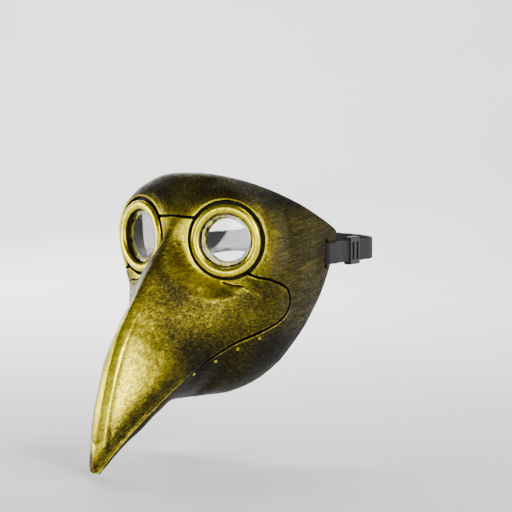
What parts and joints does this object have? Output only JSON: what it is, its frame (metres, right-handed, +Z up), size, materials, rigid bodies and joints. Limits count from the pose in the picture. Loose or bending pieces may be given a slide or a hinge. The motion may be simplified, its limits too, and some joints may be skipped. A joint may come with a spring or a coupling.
{
  "type": "plague doctor mask",
  "caption": "Costume mask with a long down-curved beak, lapped beak panel, round clear goggles, foam pads and an elastic strap looped through slots in the ear tabs.",
  "frame": {"origin": "on the middle plane, midway between the two ear tabs, 12 mm above the middle of the strap slots", "axes": "+X is the wearer's left, the face of the mask and its beak point to -Y, +Z is up"},
  "size_m": [0.1588, 0.326, 0.232],
  "materials": {
    "shell_gold": "latex, black base dry-brushed with antique gold",
    "panel_gold": "latex, black base dry-brushed with antique gold",
    "rim_gold": "satin gold over black",
    "lens_clear": "clear, glossy",
    "gasket_black": "matt black",
    "seat_gold": "satin gold, worn",
    "nut_dark": "matt dark olive",
    "pad_foam": "charcoal foam with a knit face",
    "webbing_black": "woven elastic",
    "keeper_black": "moulded, fine grain",
    "stitch_grey": "waxed thread"
  },
  "bodies": {
    "mask": {"face_shell": "shell_gold", "beak_panel": "panel_gold", "goggle_rim_left": "rim_gold", "goggle_rim_right": "rim_gold", "lens_left": "lens_clear", "lens_right": "lens_clear", "lens_gasket_left": "gasket_black", "lens_gasket_right": "gasket_black", "lens_seat_left": "seat_gold", "lens_seat_right": "seat_gold", "goggle_nut_left": "nut_dark", "goggle_nut_right": "nut_dark", "forehead_pad": "pad_foam", "cheek_pad_left": "pad_foam", "cheek_pad_right": "pad_foam", "chin_pad": "pad_foam"},
    "strap": {"strap_band": "webbing_black", "strap_stitching": "stitch_grey"},
    "keeper": {"strap_keeper": "keeper_black"}
  },
  "joints": [
    {"name": "strap_swing", "type": "hinge", "parent": "mask", "child": "strap", "pos_m": [0, -0.003, -0.012], "axis": [1, 0, 0], "range_deg": [-8, 8]},
    {"name": "keeper_slide", "type": "slide", "parent": "strap", "child": "keeper", "axis": [0, 1, 0], "range_m": [-0.006, 0.01]}
  ]
}
